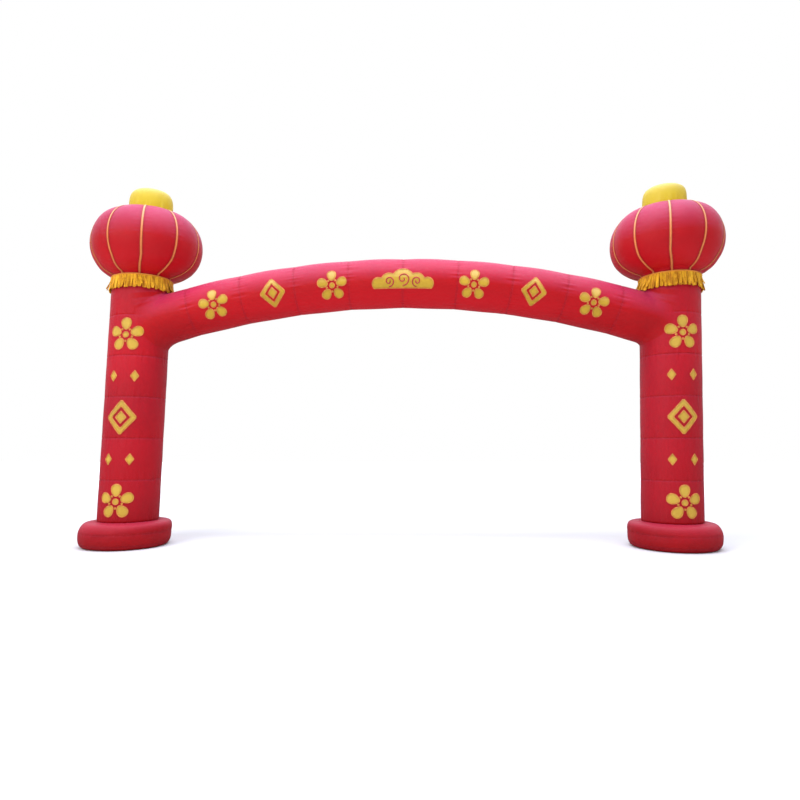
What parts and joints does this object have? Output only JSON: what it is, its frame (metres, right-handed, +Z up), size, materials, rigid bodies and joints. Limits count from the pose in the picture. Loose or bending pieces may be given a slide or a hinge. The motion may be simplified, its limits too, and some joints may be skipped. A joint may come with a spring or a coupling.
{
  "type": "inflatable lantern arch",
  "caption": "Inflatable festival archway: round columns on pillow bases, an arched tube between them, and a fringed, taped lantern balloon with a pillow cap on each column.",
  "frame": {"origin": "on the ground, under the middle of the whole arch", "axes": "+X along the span, to the right seen from the front; the front faces -Y; +Z up"},
  "size_m": [10.7516, 1.8142, 6.0707],
  "materials": {
    "tower_cloth": "coated nylon oxford, satin",
    "lantern_cloth": "coated nylon oxford, satin",
    "gold_cloth": "coated nylon oxford, satin",
    "seam_tape": "woven tape, dull",
    "fringe_yarn": "viscose yarn, silky"
  },
  "bodies": {
    "root": {"beam": "tower_cloth", "base_left": "tower_cloth", "base_right": "tower_cloth", "column_left": "tower_cloth", "column_right": "tower_cloth", "fringe_left": "fringe_yarn", "fringe_right": "fringe_yarn", "lantern_left": "lantern_cloth", "lantern_right": "lantern_cloth", "seam_tape_left_1": "seam_tape", "seam_tape_left_2": "seam_tape", "seam_tape_left_3": "seam_tape", "seam_tape_left_4": "seam_tape", "seam_tape_left_5": "seam_tape", "seam_tape_left_6": "seam_tape", "seam_tape_left_7": "seam_tape", "seam_tape_left_8": "seam_tape", "seam_tape_left_9": "seam_tape", "seam_tape_left_10": "seam_tape", "seam_tape_right_1": "seam_tape", "seam_tape_right_2": "seam_tape", "seam_tape_right_3": "seam_tape", "seam_tape_right_4": "seam_tape", "seam_tape_right_5": "seam_tape", "seam_tape_right_6": "seam_tape", "seam_tape_right_7": "seam_tape", "seam_tape_right_8": "seam_tape", "seam_tape_right_9": "seam_tape", "seam_tape_right_10": "seam_tape", "cap_left": "gold_cloth", "cap_right": "gold_cloth", "cap_piping_left": "seam_tape", "cap_piping_right": "seam_tape"}
  },
  "joints": []
}
